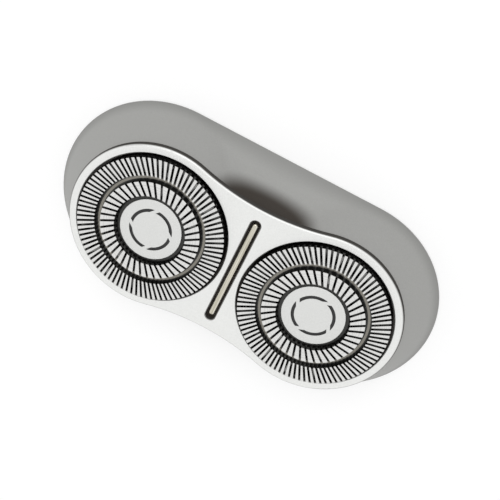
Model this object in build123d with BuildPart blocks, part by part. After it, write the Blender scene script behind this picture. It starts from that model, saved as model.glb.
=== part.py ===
import os
from math import cos, degrees, log, radians, sin, sqrt

from build123d import *

os.makedirs("parts", exist_ok=True)

# Layout: the rear rim stands on Z = 0, the face looks up, the two foils lie along X
plate_top = 7.8

# Fits
contact_gap = 0.02
running_gap = 0.06
sliding_gap = 0.15
frame_fit = 0.1
shell_fit = 0.15

# Outer shell
rim_radius = 15.35
rim_overhang = 1.4
rim_break = 0.15
shell_flare = 3.3
shell_wall = 0.8
deck_thickness = 1.7
flare_steps = 5

# Centre bar and its slot
bar_width = 1.0
bar_length = 16.2
bar_drop = 0.25
bar_seat = 0.3
bar_corner = 0.45
bar_round = 0.4
bar_side_gap = 0.25
bar_end_gap = 0.6
neck_margin = 0.65

# Face plate
plate_thickness = 0.8
plate_rim = 1.25
plate_edge_round = 0.45
hole_land = 3.2
hole_edge_break = 0.1
slot_land = 1.8

# Foil
foil_thickness = 0.3
foil_rise = 0.7
foil_wall_gap = 0.4
foil_flange = 0.7
foil_travel = 0.8
outer_track_width = 2.55
groove_width = 0.85
groove_depth = 0.75
inner_track_width = 2.05
well_taper = 0.25
slot_cut = 0.33
slot_offset = 1.55
outer_slots = 86
inner_slots = 43
slot_depth = 0.68
slot_overrun = 0.1
foil_turn = {"left": 0.0, "right": 1.5}

# Centre disc of the foil
cap_gap = 0.4
cap_rise = 0.15
cap_thickness = 0.25
cap_edge_round = 0.08
stem_radius = 1.5
stem_length = 0.8
mark_place = 0.642
mark_width = 0.46
mark_depth = 0.12
mark_count = 4
mark_gap = 0.48
mark_slant = 49.0
cap_turn = {"left": 6.9, "right": 72.6}

# Cutter and its hub
blade_height = 1.85
blade_thickness = 0.45
blade_lean = 18.0
outer_blades = 16
inner_blades = 12
blade_side_gap = 0.1
cutter_thickness = 0.4
cutter_bore = 2.0
hub_collar_radius = 5.0
hub_collar_thickness = 0.7
hub_radius = 3.3
hub_length = 3.29
socket_radius = 1.75
socket_depth = 2.4
key_width = 0.9
key_length = 4.6
pivot_radius = 0.75
pivot_gap = 0.05
stake_radius = 0.6
stake_circle = 3.3
stake_count = 3

# Foil spring
spring_height = 1.1
spring_sheet = 0.2
spring_band = 0.4
spring_fingers = 3
finger_width = 0.35
finger_sweep = 60.0
finger_root = 8.0
root_overlap = 1.0

# Chassis
skirt_wall = 0.45
web_thickness = 1.2
post_inset = 2.0
post_width = 1.6
post_depth = 1.2
head_depth = 2.2
head_thickness = 0.4
head_gap = 0.05

# Retaining frame
spring_step = 0.4
frame_lip_thickness = 0.6
frame_ring_width = 0.95
guide_wall = 1.2
guide_gap = 0.3
guide_drop = 0.4
spoke_count = 3
spoke_width = 1.6
spoke_drop = 0.2
spoke_thickness = 1.0
bridge_width = 6.4
bridge_wall = 0.6
bridge_drop = 0.3
bridge_thickness = 0.9
bridge_corner = 1.0
post_clearance = 0.2

# Lock knob, its washer and its pin
knob_radius = 6.6
knob_thickness = 1.0
knob_edge_round = 0.3
knob_travel = 45.0
grip_margin = 0.42
grip_width = 1.6
grip_height = 0.4
washer_radius = 2.2
washer_thickness = 0.2
pin_radius = 1.0
pin_head_radius = 1.7
pin_head_thickness = 0.35
pin_flare = 0.45

# Magnets
magnet_radius = 1.7
magnet_height = 1.4
magnet_bevel = 0.1
magnet_bottom = 0.55
cup_gap = 0.43
cup_clearance = 0.2
magnet_wall = 0.45
magnet_rib = 2.4

# Levels, from the face down to the knob
plate_bottom = plate_top - plate_thickness
foil_top = plate_top + foil_rise
foil_stop = plate_bottom - deck_thickness
flange_bottom = foil_stop - foil_thickness
track_under = foil_top - foil_thickness
groove_floor = foil_top - groove_depth
cap_top = plate_top + cap_rise
cap_bottom = cap_top - cap_thickness
blade_top = track_under - running_gap
cutter_top = blade_top - blade_height
cutter_bottom = cutter_top - cutter_thickness
collar_bottom = cutter_bottom - hub_collar_thickness
hub_bottom = collar_bottom - hub_length
spring_seat = flange_bottom - spring_height
frame_seat = spring_seat - spring_step
frame_bottom = frame_seat - frame_lip_thickness
spoke_bottom = frame_bottom - spoke_drop
guide_bottom = frame_bottom - guide_drop
guide_top = collar_bottom - foil_travel - guide_gap
bridge_bottom = frame_bottom - bridge_drop
bridge_top = bridge_bottom + bridge_thickness
pin_seat = bridge_top - pin_head_thickness - contact_gap
knob_top = bridge_bottom - washer_thickness
knob_bottom = knob_top - knob_thickness
head_bottom = knob_bottom - head_gap - head_thickness
cup_top = magnet_bottom + magnet_height + magnet_wall
pocket_top = cup_top + contact_gap

# Magnets, beside the knob
cup_radius = magnet_radius + contact_gap + magnet_wall
magnet_offset = knob_radius + cup_gap + cup_radius
magnet_spread = 2 * magnet_offset

# Shell and slot, from the rim and the bar; the waist is as hollow as the magnet cups allow
slot_width = bar_width + 2 * bar_side_gap
slot_length = bar_length + 2 * bar_end_gap
plate_waist = slot_length + 2 * slot_land
neck_waist = bar_length + 2 * neck_margin
cup_rise = cup_top / plate_bottom
cup_waist = magnet_offset + cup_radius + cup_clearance + shell_wall
neck = neck_waist / 2
waist_hollow = log((cup_waist - neck) / (rim_radius - neck)) / log(1 - cup_rise)
cavity_rise = foil_stop / plate_bottom
cavity_radius = rim_radius - shell_flare * cavity_rise - shell_wall
cavity_waist = neck + (rim_radius - neck) * (1 - cavity_rise) ** waist_hollow - shell_wall
web_length = neck_waist - 2 * (shell_wall + shell_fit)

# Radii round a foil axis, from the shell inwards
skirt_outside = cavity_radius - shell_fit
skirt_inside = skirt_outside - skirt_wall
frame_ring = skirt_inside - frame_fit
flange_radius = skirt_inside - sliding_gap
foil_radius = flange_radius - foil_flange
foil_inside = foil_radius - foil_thickness
hole_radius = foil_radius + foil_wall_gap
lobe_radius = hole_radius + plate_rim
cutter_radius = foil_inside - blade_side_gap
groove_outer = foil_radius - outer_track_width
groove_inner = groove_outer - groove_width
track_inner = groove_inner - inner_track_width
well_radius = track_inner - well_taper
cap_radius = well_radius - cap_gap
mark_radius = cap_radius * mark_place
guide_inside = hub_radius + guide_gap

# Places of the foils, and of the posts between them
foil_spacing = 2 * hole_radius + hole_land
rim_spacing = foil_spacing + 2 * rim_overhang
half_spacing = foil_spacing / 2
sides = {"left": -half_spacing, "right": half_spacing}
centres = [(-half_spacing, 0), (half_spacing, 0)]
post_radius = knob_radius - post_inset
post_spread = 2 * post_radius
bridge_length = 2 * (post_radius + head_depth / 2 + post_clearance + bridge_wall)


def peanut(spacing, lobe, waist):
    """Two round lobes, joined by hollow sides that leave the waist."""
    end = spacing / 2
    hollow = (waist**2 + end**2 - lobe**2) / (2 * (lobe - waist))
    reach = lobe / (lobe + hollow)
    tangent = (end * (1 - reach), (waist + hollow) * reach)
    with BuildSketch() as outline:
        with BuildLine():
            for turn in (1, -1):
                top = Vector(end, lobe) * turn
                side = Vector(end + lobe, 0) * turn
                bottom = Vector(end, -lobe) * turn
                leave = Vector(tangent[0], -tangent[1]) * turn
                meet = Vector(-tangent[0], -tangent[1]) * turn
                ThreePointArc(top, side, bottom)
                TangentArc(bottom, leave, tangent=(-turn, 0))
                ThreePointArc(leave, Vector(0, -waist) * turn, meet)
                TangentArc(Vector(-end, -lobe) * turn, meet, tangent=(turn, 0))
        make_face()
    return outline.sketch


def stadium(spacing, radius):
    """Round-ended outline whose straight sides are split as a peanut's sides are."""
    end, split = spacing / 2, spacing / 4
    with BuildSketch() as outline:
        with BuildLine():
            for turn in (1, -1):
                top = Vector(end, radius) * turn
                side = Vector(end + radius, 0) * turn
                bottom = Vector(end, -radius) * turn
                ThreePointArc(top, side, bottom)
                Polyline(
                    bottom,
                    Vector(split, -radius) * turn,
                    Vector(-split, -radius) * turn,
                    Vector(-end, -radius) * turn,
                )
        make_face()
    return outline.sketch


def flare(rise, inset):
    """Outline of the shell at a share of its height: straight at the rim, waisted at the neck."""
    lobe = rim_radius - shell_flare * rise - inset
    waist = neck + (rim_radius - neck) * (1 - rise) ** waist_hollow - inset
    return peanut(foil_spacing + 2 * rim_overhang * (1 - rise), lobe, waist)


def save(piece, name):
    """Label a piece and write it as one file."""
    piece.label = name
    export_step(piece, f"parts/{name}.step")


# Outer shell: a flared skirt, straight at the rim and waisted under the plate, open at the back
with BuildPart() as shell:
    with BuildSketch():
        add(stadium(rim_spacing, rim_radius - rim_break))
    with BuildSketch(Plane.XY.offset(rim_break)):
        add(stadium(rim_spacing, rim_radius))
    loft(ruled=True)
    with BuildSketch(Plane.XY.offset(rim_break)):
        add(stadium(rim_spacing, rim_radius))
    for step in range(1, flare_steps + 1):
        rise = step / flare_steps
        with BuildSketch(Plane.XY.offset(rim_break + (plate_bottom - rim_break) * rise)):
            add(flare(rise, 0))
    loft()
    with BuildSketch():
        add(flare(cup_rise, shell_wall))
    extrude(amount=pocket_top, mode=Mode.SUBTRACT)
    with BuildSketch(Plane.XY.offset(pocket_top)):
        add(peanut(foil_spacing, cavity_radius, cavity_waist))
    extrude(amount=foil_stop - pocket_top, mode=Mode.SUBTRACT)
    with BuildSketch(Plane.XY.offset(foil_stop)):
        with Locations(*centres):
            Circle(foil_radius + sliding_gap)
    extrude(amount=plate_bottom - foil_stop, mode=Mode.SUBTRACT)
    with BuildSketch(Plane.XY.offset(plate_bottom - bar_seat)):
        Rectangle(bar_width + 2 * contact_gap, bar_length + 2 * contact_gap)
    extrude(amount=bar_seat, mode=Mode.SUBTRACT)
save(shell.part, "shell")

# Face plate: peanut outline, two foil holes and the centre slot
with BuildPart() as face_plate:
    with BuildSketch(Plane.XY.offset(plate_bottom)):
        add(peanut(foil_spacing, lobe_radius, plate_waist / 2))
    extrude(amount=plate_thickness)
    fillet(face_plate.faces().sort_by(Axis.Z)[-1].edges(), plate_edge_round)
    with BuildSketch(Plane.XY.offset(plate_bottom)):
        with Locations(*centres):
            Circle(hole_radius)
        SlotOverall(slot_length, slot_width, rotation=90)
    extrude(amount=plate_thickness, mode=Mode.SUBTRACT)
    chamfer(face_plate.faces().sort_by(Axis.Z)[-1].inner_wires().edges(), hole_edge_break)
save(face_plate.part, "face_plate")

# Centre bar: a round-topped strip in the slot
bar_floor = plate_bottom - bar_seat
bar_top = plate_top - bar_drop
with BuildPart() as centre_bar:
    with BuildSketch(Plane.XY.offset(bar_floor)):
        RectangleRounded(bar_width, bar_length, bar_corner)
    extrude(amount=bar_top - bar_floor)
    fillet(centre_bar.faces().sort_by(Axis.Z)[-1].edges(), bar_round)
save(centre_bar.part, "centre_bar")

# Chassis: two rings round the foils, with the locking posts and the magnet cups between them
chassis_top = foil_stop - contact_gap
with BuildPart() as chassis:
    with BuildSketch(Plane.XY.offset(frame_seat)):
        with Locations(*centres):
            Circle(skirt_outside)
    extrude(amount=chassis_top - frame_seat)
    with BuildSketch(Plane.XY.offset(chassis_top - web_thickness)):
        Rectangle(half_spacing, web_length)
    extrude(amount=web_thickness)
    with BuildSketch(Plane.XY.offset(frame_seat)):
        with Locations(*centres):
            Circle(skirt_inside)
    extrude(amount=chassis_top - frame_seat, mode=Mode.SUBTRACT)
    with BuildSketch(Plane.XY.offset(magnet_bottom)):
        with GridLocations(0, magnet_spread, 1, 2):
            Circle(cup_radius)
    extrude(amount=cup_top - magnet_bottom)
    rib_start = bridge_length / 2 + frame_fit
    rib_end = web_length / 2
    with BuildSketch(Plane.XY.offset(cup_top - magnet_wall)):
        with GridLocations(0, rib_start + magnet_offset, 1, 2):
            Rectangle(magnet_rib, magnet_offset - rib_start)
    extrude(amount=magnet_wall)
    with BuildSketch(Plane.XY.offset(cup_top - magnet_wall)):
        with GridLocations(0, rib_start + rib_end, 1, 2):
            Rectangle(magnet_rib, rib_end - rib_start)
    extrude(amount=chassis_top - cup_top + magnet_wall)
    with BuildSketch(Plane.XY.offset(magnet_bottom)):
        with GridLocations(0, magnet_spread, 1, 2):
            Circle(magnet_radius + contact_gap)
    extrude(amount=magnet_height, mode=Mode.SUBTRACT)
    with BuildSketch(Plane.XY.offset(head_bottom)):
        with GridLocations(0, post_spread, 1, 2):
            Rectangle(post_width, post_depth)
    extrude(amount=chassis_top - head_bottom)
    with BuildSketch(Plane.XY.offset(head_bottom)):
        with GridLocations(0, post_spread, 1, 2):
            Rectangle(post_width, head_depth)
    extrude(amount=head_thickness)
save(chassis.part, "chassis")

# Magnets that hold the head on the handle
with BuildPart() as magnet:
    with BuildSketch(Plane.XY.offset(magnet_bottom)):
        Circle(magnet_radius)
    extrude(amount=magnet_height)
    chamfer(magnet.edges(), magnet_bevel)
save(magnet.part.moved(Location((0, -magnet_offset, 0))), "front_magnet")
save(magnet.part.moved(Location((0, magnet_offset, 0))), "back_magnet")

# Foil: a drawn steel cup with two slotted tracks, a groove and a centre well
with BuildPart() as foil:
    with BuildSketch(Plane.XZ):
        with BuildLine():
            Polyline(
                (flange_radius, flange_bottom),
                (flange_radius, foil_stop - contact_gap),
                (foil_radius, foil_stop - contact_gap),
                (foil_radius, foil_top),
                (groove_outer, foil_top),
                (groove_outer, groove_floor),
                (groove_inner, groove_floor),
                (groove_inner, foil_top),
                (track_inner, foil_top),
                (well_radius, cap_bottom),
                (stem_radius + contact_gap, cap_bottom),
                (stem_radius + contact_gap, cap_bottom - foil_thickness),
                (well_radius + foil_thickness, cap_bottom - foil_thickness),
                (track_inner + foil_thickness, track_under),
                (groove_inner - foil_thickness, track_under),
                (groove_inner - foil_thickness, groove_floor - foil_thickness),
                (groove_outer + foil_thickness, groove_floor - foil_thickness),
                (groove_outer + foil_thickness, track_under),
                (foil_inside, track_under),
                (foil_inside, flange_bottom),
                close=True,
            )
        make_face()
    revolve(axis=Axis.Z)
    for start, end, count in (
        (groove_outer - slot_overrun, foil_radius + slot_overrun, outer_slots),
        (well_radius - slot_overrun, groove_inner + slot_overrun, inner_slots),
    ):
        slot_start = sqrt(start**2 - slot_offset**2)
        slot_end = sqrt(end**2 - slot_offset**2)
        with BuildSketch(Plane.XY.offset(foil_top - slot_depth)):
            with PolarLocations(0, count):
                with Locations(((slot_start + slot_end) / 2, -slot_offset)):
                    Rectangle(slot_end - slot_start, slot_cut)
        extrude(amount=slot_depth, mode=Mode.SUBTRACT)

# Centre disc of the foil, with its bearing stem and four arc marks
with BuildPart() as foil_cap:
    with BuildSketch(Plane.XY.offset(cap_bottom)):
        Circle(cap_radius)
    extrude(amount=cap_thickness)
    fillet(foil_cap.faces().sort_by(Axis.Z)[-1].edges(), cap_edge_round)
    with BuildSketch(Plane.XY.offset(cap_bottom - stem_length)):
        Circle(stem_radius)
    extrude(amount=stem_length)
    with BuildSketch(Plane.XY.offset(cap_bottom - stem_length)):
        Circle(pivot_radius + pivot_gap)
    extrude(amount=stem_length, mode=Mode.SUBTRACT)
    with BuildSketch(Plane.XY.offset(cap_top - mark_depth)):
        Circle(mark_radius + mark_width / 2)
        Circle(mark_radius - mark_width / 2, mode=Mode.SUBTRACT)
        with PolarLocations(mark_radius, mark_count):
            Rectangle(4 * mark_width, mark_gap, rotation=-mark_slant, mode=Mode.SUBTRACT)
    extrude(amount=mark_depth, mode=Mode.SUBTRACT)

# One blade of each ring, drawn from the side and leaning into the cut
lean = blade_height * sin(radians(blade_lean)) / cos(radians(blade_lean))
side_profile = [
    (-blade_thickness, cutter_top - cutter_thickness / 2),
    (blade_thickness, cutter_top - cutter_thickness / 2),
    (lean + blade_thickness / 2, blade_top),
    (lean - blade_thickness / 2, blade_top),
]
outer_blade_start = groove_outer + foil_thickness + blade_side_gap
inner_blade_start = track_inner + foil_thickness + blade_side_gap
inner_blade_end = groove_inner - foil_thickness - blade_side_gap
outer_blade_end = sqrt(cutter_radius**2 - (lean + blade_thickness) ** 2)
with BuildPart() as outer_blade:
    with BuildSketch(Plane(origin=(outer_blade_start, 0, 0), x_dir=(0, 1, 0), z_dir=(1, 0, 0))):
        Polygon(*side_profile, align=None)
    extrude(amount=outer_blade_end - outer_blade_start)
with BuildPart() as inner_blade:
    with BuildSketch(Plane(origin=(inner_blade_start, 0, 0), x_dir=(0, 1, 0), z_dir=(1, 0, 0))):
        Polygon(*side_profile, align=None)
    extrude(amount=sqrt(inner_blade_end**2 - (lean + blade_thickness) ** 2) - inner_blade_start)

# Cutter: a steel disc with two rings of blades
with BuildPart() as cutter:
    with BuildSketch(Plane.XY.offset(cutter_bottom)):
        Circle(cutter_radius)
        Circle(cutter_bore, mode=Mode.SUBTRACT)
        with PolarLocations(stake_circle, stake_count):
            Circle(stake_radius + contact_gap, mode=Mode.SUBTRACT)
    extrude(amount=cutter_thickness)
    with PolarLocations(0, outer_blades):
        add(outer_blade.part)
    with PolarLocations(0, inner_blades):
        add(inner_blade.part)

# Cutter hub: the collar under the cutter, the pivot above it and the drive socket below
with BuildPart() as cutter_hub:
    with BuildSketch(Plane.XY.offset(collar_bottom)):
        Circle(hub_collar_radius)
    extrude(amount=hub_collar_thickness)
    with BuildSketch(Plane.XY.offset(hub_bottom)):
        Circle(hub_radius)
    extrude(amount=collar_bottom - hub_bottom)
    with BuildSketch(Plane.XY.offset(cutter_bottom)):
        Circle(cutter_bore - contact_gap)
        with PolarLocations(stake_circle, stake_count):
            Circle(stake_radius)
    extrude(amount=cutter_thickness)
    with BuildSketch(Plane.XY.offset(cutter_top)):
        Circle(pivot_radius)
    extrude(amount=cap_bottom - running_gap - cutter_top)
    with BuildSketch(Plane.XY.offset(hub_bottom)):
        Circle(socket_radius)
        Rectangle(key_length, key_width)
    extrude(amount=socket_depth, mode=Mode.SUBTRACT)

# Foil spring: a flat ring with three raised fingers
spring_outside = frame_ring - frame_fit
spring_inside = spring_outside - finger_width - contact_gap - spring_band
finger_rise = spring_height - spring_sheet - contact_gap
finger_chord = (spring_outside - finger_width) * sin(radians(finger_sweep))
finger_slope = finger_rise / sqrt(finger_rise**2 + finger_chord**2)
finger_level = sqrt(1 - finger_slope**2)
with BuildPart() as foil_spring:
    with BuildSketch(Plane.XY.offset(spring_seat)):
        Circle(spring_inside + spring_band)
        Circle(spring_inside, mode=Mode.SUBTRACT)
    extrude(amount=spring_sheet)
    for finger in range(spring_fingers):
        turn = radians(finger * 360 / spring_fingers)
        finger_plane = Plane(
            origin=(0, 0, spring_seat),
            x_dir=(cos(turn), sin(turn), 0),
            z_dir=(finger_slope * sin(turn), -finger_slope * cos(turn), finger_level),
        )
        root_plane = Plane(origin=(0, 0, spring_seat), x_dir=(cos(turn), sin(turn), 0), z_dir=(0, 0, 1))
        with BuildSketch(finger_plane):
            with BuildLine():
                blade_out = CenterArc((0, 0), spring_outside, 0, finger_sweep)
                blade_in = CenterArc((0, 0), spring_outside - finger_width, 0, finger_sweep)
                Line(blade_out @ 0, blade_in @ 0)
                Line(blade_out @ 1, blade_in @ 1)
            make_face()
        extrude(amount=spring_sheet)
        with BuildSketch(root_plane):
            with BuildLine():
                root_out = CenterArc((0, 0), spring_outside, -finger_root, finger_root + root_overlap)
                root_in = CenterArc((0, 0), spring_inside, -finger_root, finger_root + root_overlap)
                Line(root_out @ 0, root_in @ 0)
                Line(root_out @ 1, root_in @ 1)
            make_face()
        extrude(amount=spring_sheet)

for side, x in sides.items():
    spot = Location((x, 0, 0))
    save(foil.part.moved(spot * Location((0, 0, 0), (0, 0, foil_turn[side]))), f"{side}_foil")
    save(foil_cap.part.moved(spot * Location((0, 0, 0), (0, 0, cap_turn[side]))), f"{side}_foil_cap")
    save(cutter.part.moved(spot), f"{side}_cutter")
    save(cutter_hub.part.moved(spot), f"{side}_cutter_hub")
    save(foil_spring.part.moved(spot), f"{side}_foil_spring")

# Retaining frame: two spring seats with spoked guides, joined by the lock bridge
with BuildPart() as retaining_frame:
    with BuildSketch(Plane.XY.offset(frame_bottom)):
        with Locations(*centres):
            Circle(skirt_outside)
    extrude(amount=frame_lip_thickness)
    with BuildSketch(Plane.XY.offset(frame_bottom)):
        with Locations(*centres):
            Circle(frame_ring)
    extrude(amount=spring_seat - frame_bottom)
    with BuildSketch(Plane.XY.offset(frame_bottom)):
        with Locations(*centres):
            Circle(frame_ring - frame_ring_width)
    extrude(amount=spring_seat - frame_bottom, mode=Mode.SUBTRACT)
    with BuildSketch(Plane.XY.offset(bridge_bottom)):
        RectangleRounded(bridge_width, bridge_length, bridge_corner)
    extrude(amount=bridge_thickness)
    spoke_start = guide_inside + guide_wall / 2
    spoke_end = frame_ring - frame_ring_width / 2
    with BuildSketch(Plane.XY.offset(spoke_bottom)):
        for x, first_spoke in zip(sides.values(), (180, 0)):
            with Locations((x, 0)):
                with PolarLocations((spoke_start + spoke_end) / 2, spoke_count, start_angle=first_spoke):
                    Rectangle(spoke_end - spoke_start, spoke_width)
    extrude(amount=spoke_thickness)
    with BuildSketch(Plane.XY.offset(guide_bottom)):
        with Locations(*centres):
            Circle(guide_inside + guide_wall)
    extrude(amount=guide_top - guide_bottom)
    with BuildSketch(Plane.XY.offset(guide_bottom)):
        with Locations(*centres):
            Circle(guide_inside)
    extrude(amount=guide_top - guide_bottom, mode=Mode.SUBTRACT)
    with BuildSketch(Plane.XY.offset(bridge_bottom)):
        with GridLocations(0, post_spread, 1, 2):
            Rectangle(post_width + 2 * post_clearance, head_depth + 2 * post_clearance)
        Circle(pin_radius + contact_gap)
    extrude(amount=bridge_thickness, mode=Mode.SUBTRACT)
    with BuildSketch(Plane.XY.offset(pin_seat)):
        Circle(pin_radius + pin_flare + contact_gap)
    extrude(amount=spring_seat - pin_seat, mode=Mode.SUBTRACT)
save(retaining_frame.part, "retaining_frame")

# Lock knob: turns on the pin and catches the heads of the two posts
with BuildPart() as lock_knob:
    with BuildSketch(Plane.XY.offset(knob_bottom)):
        Circle(knob_radius)
    extrude(amount=knob_thickness)
    fillet(lock_knob.faces().sort_by(Axis.Z)[0].edges(), knob_edge_round)
    grip_start = pin_head_radius + running_gap + grip_margin
    grip_end = knob_radius - grip_margin
    with BuildSketch(Plane.XY.offset(knob_bottom - grip_height)):
        with GridLocations(grip_start + grip_end, 0, 2, 1):
            SlotOverall(grip_end - grip_start, grip_width)
    extrude(amount=grip_height + knob_edge_round)
    post_margin = degrees((post_width / 2 + post_clearance) / post_radius)
    with BuildSketch(Plane.XY.offset(knob_bottom)):
        for rest in (90, 270):
            with PolarLocations(post_radius, 1, start_angle=rest - knob_travel):
                Rectangle(head_depth + 2 * post_clearance, post_width + 4 * post_clearance)
            with BuildLine():
                track = CenterArc((0, 0), post_radius, rest - knob_travel, knob_travel + post_margin)
            SlotArc(track, post_depth + 2 * post_clearance, mode=Mode.ADD)
        Circle(pin_radius + pivot_gap)
    extrude(amount=knob_thickness, mode=Mode.SUBTRACT)
save(lock_knob.part, "lock_knob")

# Washer between the knob and the bridge
with BuildPart() as knob_washer:
    with BuildSketch(Plane.XY.offset(knob_top)):
        Circle(washer_radius)
        Circle(pin_radius + pivot_gap, mode=Mode.SUBTRACT)
    extrude(amount=washer_thickness)
save(knob_washer.part, "knob_washer")

# Pin of the lock knob: a rivet through the knob, the washer and the bridge
with BuildPart() as knob_pin:
    with BuildSketch(Plane.XY.offset(knob_bottom - pin_head_thickness - contact_gap)):
        Circle(pin_head_radius)
    extrude(amount=pin_head_thickness)
    with BuildSketch(Plane.XY.offset(knob_bottom - contact_gap)):
        Circle(pin_radius)
    extrude(amount=pin_seat + contact_gap - knob_bottom)
    with BuildSketch(Plane.XY.offset(pin_seat)):
        Circle(pin_radius + pin_flare)
    extrude(amount=pin_head_thickness)
save(knob_pin.part, "knob_pin")
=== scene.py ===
from math import radians

import bpy
from mathutils import Matrix, Vector


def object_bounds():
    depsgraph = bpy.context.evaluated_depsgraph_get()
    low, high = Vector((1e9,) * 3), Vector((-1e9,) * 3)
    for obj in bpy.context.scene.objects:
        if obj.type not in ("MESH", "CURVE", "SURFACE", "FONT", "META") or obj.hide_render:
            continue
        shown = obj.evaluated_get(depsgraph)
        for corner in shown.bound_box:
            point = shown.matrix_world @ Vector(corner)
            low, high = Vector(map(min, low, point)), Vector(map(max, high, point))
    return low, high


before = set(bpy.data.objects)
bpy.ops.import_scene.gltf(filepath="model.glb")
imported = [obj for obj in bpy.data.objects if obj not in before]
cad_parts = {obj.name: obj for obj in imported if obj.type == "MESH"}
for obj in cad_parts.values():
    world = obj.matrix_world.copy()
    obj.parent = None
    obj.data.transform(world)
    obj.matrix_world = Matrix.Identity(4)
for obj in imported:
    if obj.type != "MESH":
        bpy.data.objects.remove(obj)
cad_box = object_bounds()

# Lengths are in metres; MM turns millimetres into them
MM = 0.001

# Top of the foil tracks, the highest point of the part
FACE_TOP = cad_box[1][2]

# Camera, fitted to the photograph
CAMERA_PLACE = Vector((2.92 * MM, 54.35 * MM, FACE_TOP + 90.86 * MM))
CAMERA_TARGET = Vector((0.82 * MM, 4.41 * MM, FACE_TOP - 0.7 * MM))
CAMERA_ROLL_DEG = -150.04
CAMERA_LENS_MM = 55.9
CAMERA_CLIP_START = 5.0 * MM

# Foil axes and the dark arc marks of the centre discs
FOIL_AXIS_X = 12.6 * MM
MARK_INNER = 2.55 * MM
MARK_OUTER = 3.2 * MM
MARK_LEVEL = FACE_TOP - 0.6 * MM

# Lapped top of the foil tracks, under which the steel is painted near-black as painted shade, and the pale
# line in the groove between them
LAPPED_LEVEL = FACE_TOP - 0.08 * MM
GROOVE_INNER = 7.46 * MM
GROOVE_OUTER = 7.8 * MM
GROOVE_LEVEL = FACE_TOP - 0.6 * MM

# Skirt of the shell, taken as a plain stadium that narrows upwards, for the mask of the painted shadow in
# the waist
SKIRT_RIM = cad_box[1][1]
SKIRT_END = 13.3 * MM
SKIRT_SLOPE = 0.47

# Painted shadow in the hollow of the waist: how far the shell falls in behind that skirt, less a share of
# the drop from the plate, from where the painted shadow starts to where it is full
HOLLOW_TOP = 6.8 * MM
HOLLOW_OPENING = 0.25
SHADOW_START_DEPTH = 0.8 * MM
SHADOW_FULL_DEPTH = 2.2 * MM

# Top of the band of painted shade along the rim of the shell
RIM_SHADE_TOP = 2.2 * MM

# Upward part of the surface normal, from where a wall ends to where a face begins
PLATE_TURN = (0.6, 0.92)
TRACK_TURN = (0.3, 0.7)
SHELL_TURN = (0.1, 0.3)

# Part of the noise that drives the colour, and part that drives the gloss
NOISE_DETAIL = 3.0
COLOUR_RANGE = (0.35, 0.65)
GLOSS_RANGE = (0.3, 0.7)

# Light
SKY_STRENGTH = 0.9
KEY_POWER = 0.2
KEY_PLACE = Vector((-0.06, 0.24, 0.28))
KEY_TARGET = Vector((0, 0, 0.005))
KEY_SIZE = 0.16
FLOOR_SIZE = 3.0
FLOOR_ALBEDO = 0.5
FLOOR_GLOW = 0.53
FLOOR_DROP = 0.03 * MM


class Tree:
    """Node tree of a material or the world, with short ways to add nodes to it."""

    def __init__(self, owner):
        owner.use_nodes = True
        self.nodes = owner.node_tree.nodes
        self.links = owner.node_tree.links

    def put(self, slot, value):
        """Feed an input from another node's output, or with a plain value."""
        if isinstance(value, bpy.types.NodeSocket):
            self.links.new(value, slot)
        else:
            slot.default_value = value

    def math(self, operation, *values):
        """Result of a math node."""
        node = self.nodes.new("ShaderNodeMath")
        node.operation = operation
        for slot, value in zip(node.inputs, values):
            self.put(slot, value)
        return node.outputs[0]

    def span(self, value, source, target=(0.0, 1.0), kind="LINEAR"):
        """The value, with the source range mapped on the target range."""
        node = self.nodes.new("ShaderNodeMapRange")
        node.interpolation_type = kind
        node.inputs["From Min"].default_value = source[0]
        node.inputs["From Max"].default_value = source[1]
        node.inputs["To Min"].default_value = target[0]
        node.inputs["To Max"].default_value = target[1]
        self.put(node.inputs["Value"], value)
        return node.outputs["Result"]

    def seen_directly(self):
        """1 on camera, glossy and transmission rays."""
        path = self.nodes.new("ShaderNodeLightPath").outputs
        reflected = self.math("MAXIMUM", path["Is Camera Ray"], path["Is Glossy Ray"])
        return self.math("MAXIMUM", reflected, path["Is Transmission Ray"])


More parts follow.
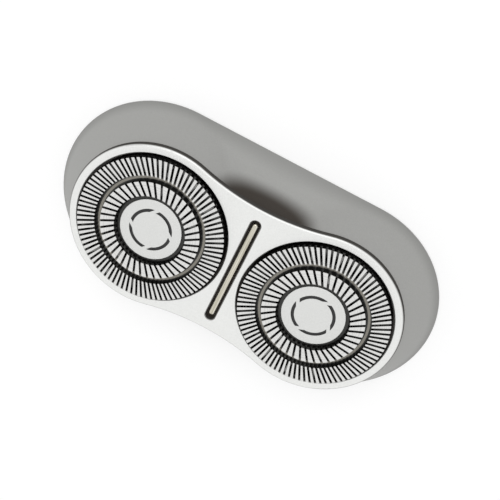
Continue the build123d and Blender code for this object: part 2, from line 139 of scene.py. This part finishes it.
class Look(Tree):
    """A new material with a Principled shader, and the patterns that the finishes are made of."""

    def __init__(self, name):
        self.material = bpy.data.materials.new(name)
        super().__init__(self.material)
        self.shader = self.nodes["Principled BSDF"]

    def set(self, name, value):
        """Set an input of the shader."""
        self.put(self.shader.inputs[name], value)

    def split(self, kind):
        """X, Y and Z of the object coordinates or of the surface normal."""
        place = self.nodes.new("ShaderNodeTexCoord")
        axes = self.nodes.new("ShaderNodeSeparateXYZ")
        self.put(axes.inputs["Vector"], place.outputs[kind])
        return axes.outputs

    def length(self, x, y):
        """Length of the vector X, Y."""
        join = self.nodes.new("ShaderNodeCombineXYZ")
        self.put(join.inputs["X"], x)
        self.put(join.inputs["Y"], y)
        node = self.nodes.new("ShaderNodeVectorMath")
        node.operation = "LENGTH"
        self.put(node.inputs[0], join.outputs["Vector"])
        return node.outputs["Value"]

    def noise(self, cell):
        """Noise with the given cell size in metres, one value or one per axis."""
        cells = (cell,) * 3 if isinstance(cell, float) else cell
        place = self.nodes.new("ShaderNodeTexCoord")
        mapping = self.nodes.new("ShaderNodeMapping")
        mapping.inputs["Scale"].default_value = [1 / size for size in cells]
        self.put(mapping.inputs["Vector"], place.outputs["Object"])
        texture = self.nodes.new("ShaderNodeTexNoise")
        texture.inputs["Scale"].default_value = 1.0
        texture.inputs["Detail"].default_value = NOISE_DETAIL
        self.put(texture.inputs["Vector"], mapping.outputs["Vector"])
        return texture.outputs["Fac"]

    def rings(self, pitch):
        """Noise along the distance from the foil axis: fine turning marks."""
        texture = self.nodes.new("ShaderNodeTexNoise")
        texture.noise_dimensions = "1D"
        texture.inputs["Scale"].default_value = 1.0
        texture.inputs["Detail"].default_value = NOISE_DETAIL
        self.put(texture.inputs["W"], self.math("DIVIDE", self.radius(), pitch))
        return texture.outputs["Fac"]

    def ramp(self, factor, low, high):
        """Colour that goes from low to high with the factor."""
        blend = self.nodes.new("ShaderNodeValToRGB")
        for stop, position, colour in zip(blend.color_ramp.elements, COLOUR_RANGE, (low, high)):
            stop.position = position
            stop.color = (*colour, 1)
        self.put(blend.inputs["Fac"], factor)
        return blend.outputs["Color"]

    def mix(self, factor, first, second):
        """First colour where the factor is 0, second where it is 1; either may be a link or a colour."""
        blend = self.nodes.new("ShaderNodeMix")
        blend.data_type = "RGBA"
        self.put(blend.inputs["Factor"], factor)
        for name, colour in (("A", first), ("B", second)):
            self.put(blend.inputs[name], (*colour, 1) if isinstance(colour, tuple) else colour)
        return blend.outputs["Result"]

    def gloss(self, factor, low, high):
        """Roughness that goes from low to high with the factor."""
        self.set("Roughness", self.span(factor, GLOSS_RANGE, (low, high)))

    def relief(self, factor, height, strength):
        """Bump of the given height in metres."""
        bump = self.nodes.new("ShaderNodeBump")
        bump.inputs["Strength"].default_value = strength
        bump.inputs["Distance"].default_value = height
        self.put(bump.inputs["Height"], factor)
        self.set("Normal", bump.outputs["Normal"])

    def facing_up(self, turn):
        """0 on walls and undersides, 1 on surfaces that face out of the shaving face."""
        return self.span(self.split("Normal")["Z"], turn)

    def radius(self):
        """Distance from the nearer foil axis, with both foils folded on one side."""
        place = self.split("Object")
        across = self.math("SUBTRACT", self.math("ABSOLUTE", place["X"]), FOIL_AXIS_X)
        return self.length(across, place["Y"])

    def ring_band(self, inner, outer, level):
        """1 between two distances from the foil axis and under a level."""
        radius = self.radius()
        past_inner = self.math("GREATER_THAN", radius, inner)
        band = self.math("MULTIPLY", past_inner, self.math("LESS_THAN", radius, outer))
        return self.math("MULTIPLY", band, self.math("LESS_THAN", self.split("Object")["Z"], level))

    def waist_shadow_mask(self):
        """Mask of the painted shadow: 0 on the skirt and inside, 1 deep in the hollow of the waist."""
        place = self.split("Object")
        past_end = self.math("SUBTRACT", self.math("ABSOLUTE", place["X"]), SKIRT_END)
        reach = self.length(self.math("MAXIMUM", past_end, 0.0), place["Y"])
        skirt = self.math("SUBTRACT", SKIRT_RIM, self.math("MULTIPLY", place["Z"], SKIRT_SLOPE))
        fallen_in = self.math("SUBTRACT", skirt, reach)
        below_plate = self.math("SUBTRACT", HOLLOW_TOP, place["Z"])
        opening = self.math("MULTIPLY", below_plate, HOLLOW_OPENING)
        depth = self.math("SUBTRACT", fallen_in, opening)
        hollow = self.span(depth, (SHADOW_START_DEPTH, SHADOW_FULL_DEPTH), kind="SMOOTHSTEP")
        return self.math("MULTIPLY", hollow, self.facing_up(SHELL_TURN))


def finish(name, low, high, rough, metallic, cell, height):
    """A surface whose colour, gloss and relief all vary with one fine grain."""
    look = Look(name)
    look.set("Metallic", metallic)
    grain = look.noise(cell)
    look.set("Base Color", look.ramp(grain, low, high))
    look.gloss(grain, *rough)
    look.relief(grain, height, strength=0.3)
    return look.material


def shell_grey():
    """Matt grey plastic, with painted shade a little darker along the rim and a near-black painted shadow
    in the hollow of the waist.
    """
    look = Look("shell_grey")
    look.set("Specular IOR Level", 0.35)
    grain = look.noise(0.12 * MM)
    grey = look.ramp(grain, low=(0.355, 0.355, 0.343), high=(0.395, 0.395, 0.382))
    # Painted shade: the grey darkens towards the rim at the bottom of the shell
    above_rim = look.span(look.split("Object")["Z"], (0.0, RIM_SHADE_TOP), kind="SMOOTHSTEP")
    skirt = look.mix(above_rim, (0.28, 0.28, 0.27), grey)
    # Painted shadow: near-black in the hollow of the waist, under the plate's overhang
    look.set("Base Color", look.mix(look.waist_shadow_mask(), skirt, (0.037, 0.029, 0.022)))
    look.gloss(grain, low=0.5, high=0.62)
    look.relief(grain, 0.01 * MM, strength=0.25)
    return look.material


def plate_silver():
    """Satin silver face; its rolled edge and sides are painted dark and dull as painted shade."""
    look = Look("plate_silver")
    grain = look.noise(0.09 * MM)
    silver = look.ramp(grain, low=(0.77, 0.775, 0.76), high=(0.87, 0.875, 0.86))
    face = look.facing_up(PLATE_TURN)
    # Painted shade: the rolled edge and sides are near-black, with no metal or specular reflection
    look.set("Base Color", look.mix(face, (0.07, 0.067, 0.062), silver))
    look.set("Metallic", face)
    look.set("Specular IOR Level", face)
    look.gloss(grain, low=0.36, high=0.5)
    look.relief(grain, 0.004 * MM, strength=0.25)
    return look.material


def foil_steel():
    """Steel with bright lapped tracks, walls and slots painted near-black as painted shade, and a pale line
    in the groove.
    """
    look = Look("foil_steel")
    look.set("Metallic", 1.0)
    marks = look.rings(0.12 * MM)
    lapped = look.ramp(marks, low=(0.62, 0.62, 0.605), high=(0.82, 0.82, 0.805))
    face = look.facing_up(TRACK_TURN)
    on_top = look.math("GREATER_THAN", look.split("Object")["Z"], LAPPED_LEVEL)
    # Painted shade: everything but the lapped top is near-black steel
    steel = look.mix(look.math("MULTIPLY", on_top, face), (0.05, 0.05, 0.048), lapped)
    groove = look.ring_band(GROOVE_INNER, GROOVE_OUTER, GROOVE_LEVEL)
    line = look.math("MULTIPLY", groove, face)
    look.set("Base Color", look.mix(line, steel, (0.24, 0.228, 0.2)))
    look.gloss(marks, low=0.2, high=0.36)
    look.relief(marks, 0.004 * MM, strength=0.25)
    return look.material


def cap_silver():
    """Satin disc whose sunk arc marks are dark."""
    look = Look("cap_silver")
    grain = look.noise(0.08 * MM)
    silver = look.ramp(grain, low=(0.68, 0.685, 0.67), high=(0.76, 0.765, 0.75))
    mark = look.ring_band(MARK_INNER, MARK_OUTER, MARK_LEVEL)
    look.set("Base Color", look.mix(mark, silver, (0.012, 0.012, 0.012)))
    look.set("Metallic", look.math("SUBTRACT", 1.0, mark))
    look.gloss(grain, low=0.34, high=0.46)
    look.relief(grain, 0.003 * MM, strength=0.2)
    return look.material


def dress(material, *names):
    """Give CAD nodes one material."""
    for name in names:
        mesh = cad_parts[name].data
        mesh.materials.clear()
        mesh.materials.append(material)


def both(name):
    """The left and the right node of a pair."""
    return f"left_{name}", f"right_{name}"


# Finishes of the pieces that the photograph shows
dress(shell_grey(), "shell")
dress(plate_silver(), "face_plate")
dress(foil_steel(), *both("foil"))
dress(cap_silver(), *both("foil_cap"))
bar_champagne = finish(
    "bar_champagne",
    low=(0.46, 0.43, 0.34),
    high=(0.82, 0.79, 0.7),
    rough=(0.22, 0.36),
    metallic=1.0,
    cell=(0.22 * MM, 12.0 * MM, 0.22 * MM),
    height=0.003 * MM,
)
dress(bar_champagne, "centre_bar")

# Finishes of the pieces inside and at the back
chassis_dark = finish(
    "chassis_dark",
    low=(0.022, 0.02, 0.019),
    high=(0.04, 0.037, 0.035),
    rough=(0.5, 0.65),
    metallic=0.0,
    cell=0.1 * MM,
    height=0.01 * MM,
)
dress(chassis_dark, "chassis")
cutter_steel = finish(
    "cutter_steel",
    low=(0.2, 0.2, 0.195),
    high=(0.28, 0.28, 0.27),
    rough=(0.28, 0.42),
    metallic=1.0,
    cell=0.15 * MM,
    height=0.005 * MM,
)
dress(cutter_steel, *both("cutter"), "knob_washer")
hub_plastic = finish(
    "hub_plastic",
    low=(0.05, 0.05, 0.055),
    high=(0.075, 0.075, 0.08),
    rough=(0.42, 0.56),
    metallic=0.0,
    cell=0.12 * MM,
    height=0.008 * MM,
)
dress(hub_plastic, *both("cutter_hub"))
spring_steel = finish(
    "spring_steel",
    low=(0.46, 0.46, 0.46),
    high=(0.58, 0.58, 0.57),
    rough=(0.25, 0.4),
    metallic=1.0,
    cell=0.1 * MM,
    height=0.004 * MM,
)
dress(spring_steel, *both("foil_spring"))
frame_plastic = finish(
    "frame_plastic",
    low=(0.085, 0.085, 0.09),
    high=(0.115, 0.115, 0.12),
    rough=(0.46, 0.6),
    metallic=0.0,
    cell=0.12 * MM,
    height=0.01 * MM,
)
dress(frame_plastic, "retaining_frame")
knob_plastic = finish(
    "knob_plastic",
    low=(0.27, 0.27, 0.265),
    high=(0.32, 0.32, 0.315),
    rough=(0.45, 0.58),
    metallic=0.0,
    cell=0.12 * MM,
    height=0.01 * MM,
)
dress(knob_plastic, "lock_knob")
pin_steel = finish(
    "pin_steel",
    low=(0.55, 0.55, 0.54),
    high=(0.66, 0.66, 0.65),
    rough=(0.25, 0.4),
    metallic=1.0,
    cell=0.1 * MM,
    height=0.004 * MM,
)
dress(pin_steel, "knob_pin")
magnet_nickel = finish(
    "magnet_nickel",
    low=(0.62, 0.61, 0.58),
    high=(0.7, 0.69, 0.66),
    rough=(0.12, 0.24),
    metallic=1.0,
    cell=0.2 * MM,
    height=0.002 * MM,
)
dress(magnet_nickel, "front_magnet", "back_magnet")


def make_floor():
    """A pale floor just under the rim that keeps the soft shadow."""
    bpy.ops.mesh.primitive_plane_add(size=FLOOR_SIZE, location=(0, 0, -FLOOR_DROP))
    floor = bpy.context.object
    floor.name = "floor"
    material = bpy.data.materials.new("floor_white")
    tree = Tree(material)
    tree.nodes.clear()
    matte = tree.nodes.new("ShaderNodeBsdfDiffuse")
    matte.inputs["Color"].default_value = (FLOOR_ALBEDO, FLOOR_ALBEDO, FLOOR_ALBEDO, 1)
    glow = tree.nodes.new("ShaderNodeEmission")
    tree.put(glow.inputs["Strength"], tree.math("MULTIPLY", tree.seen_directly(), FLOOR_GLOW))
    total = tree.nodes.new("ShaderNodeAddShader")
    tree.put(total.inputs[0], matte.outputs[0])
    tree.put(total.inputs[1], glow.outputs[0])
    output = tree.nodes.new("ShaderNodeOutputMaterial")
    tree.put(output.inputs["Surface"], total.outputs[0])
    floor.data.materials.append(material)


def make_world():
    """White to the eye and in reflections, dimmer as a light."""
    world = bpy.data.worlds.new("studio")
    bpy.context.scene.world = world
    tree = Tree(world)
    sky = tree.nodes["Background"]
    sky.inputs["Color"].default_value = (1, 1, 1, 1)
    tree.put(sky.inputs["Strength"], tree.span(tree.seen_directly(), (0.0, 1.0), (SKY_STRENGTH, 1.0)))


def make_key():
    """A square soft box on the camera's side."""
    data = bpy.data.lights.new("key", "AREA")
    data.size = KEY_SIZE
    data.energy = KEY_POWER
    lamp = bpy.data.objects.new("key", data)
    lamp.location = KEY_PLACE
    lamp.rotation_euler = (KEY_TARGET - KEY_PLACE).to_track_quat("-Z", "Y").to_euler()
    bpy.context.collection.objects.link(lamp)


def make_camera():
    """The photograph's camera."""
    data = bpy.data.cameras.new("camera")
    data.lens = CAMERA_LENS_MM
    data.clip_start = CAMERA_CLIP_START
    camera = bpy.data.objects.new("camera", data)
    look = (CAMERA_TARGET - CAMERA_PLACE).to_track_quat("-Z", "Y").to_matrix().to_4x4()
    roll = Matrix.Rotation(radians(CAMERA_ROLL_DEG), 4, "Z")
    camera.matrix_world = Matrix.Translation(CAMERA_PLACE) @ look @ roll
    bpy.context.collection.objects.link(camera)
    bpy.context.scene.camera = camera


make_floor()
make_world()
make_key()
make_camera()
bpy.context.scene.view_settings.view_transform = "Standard"
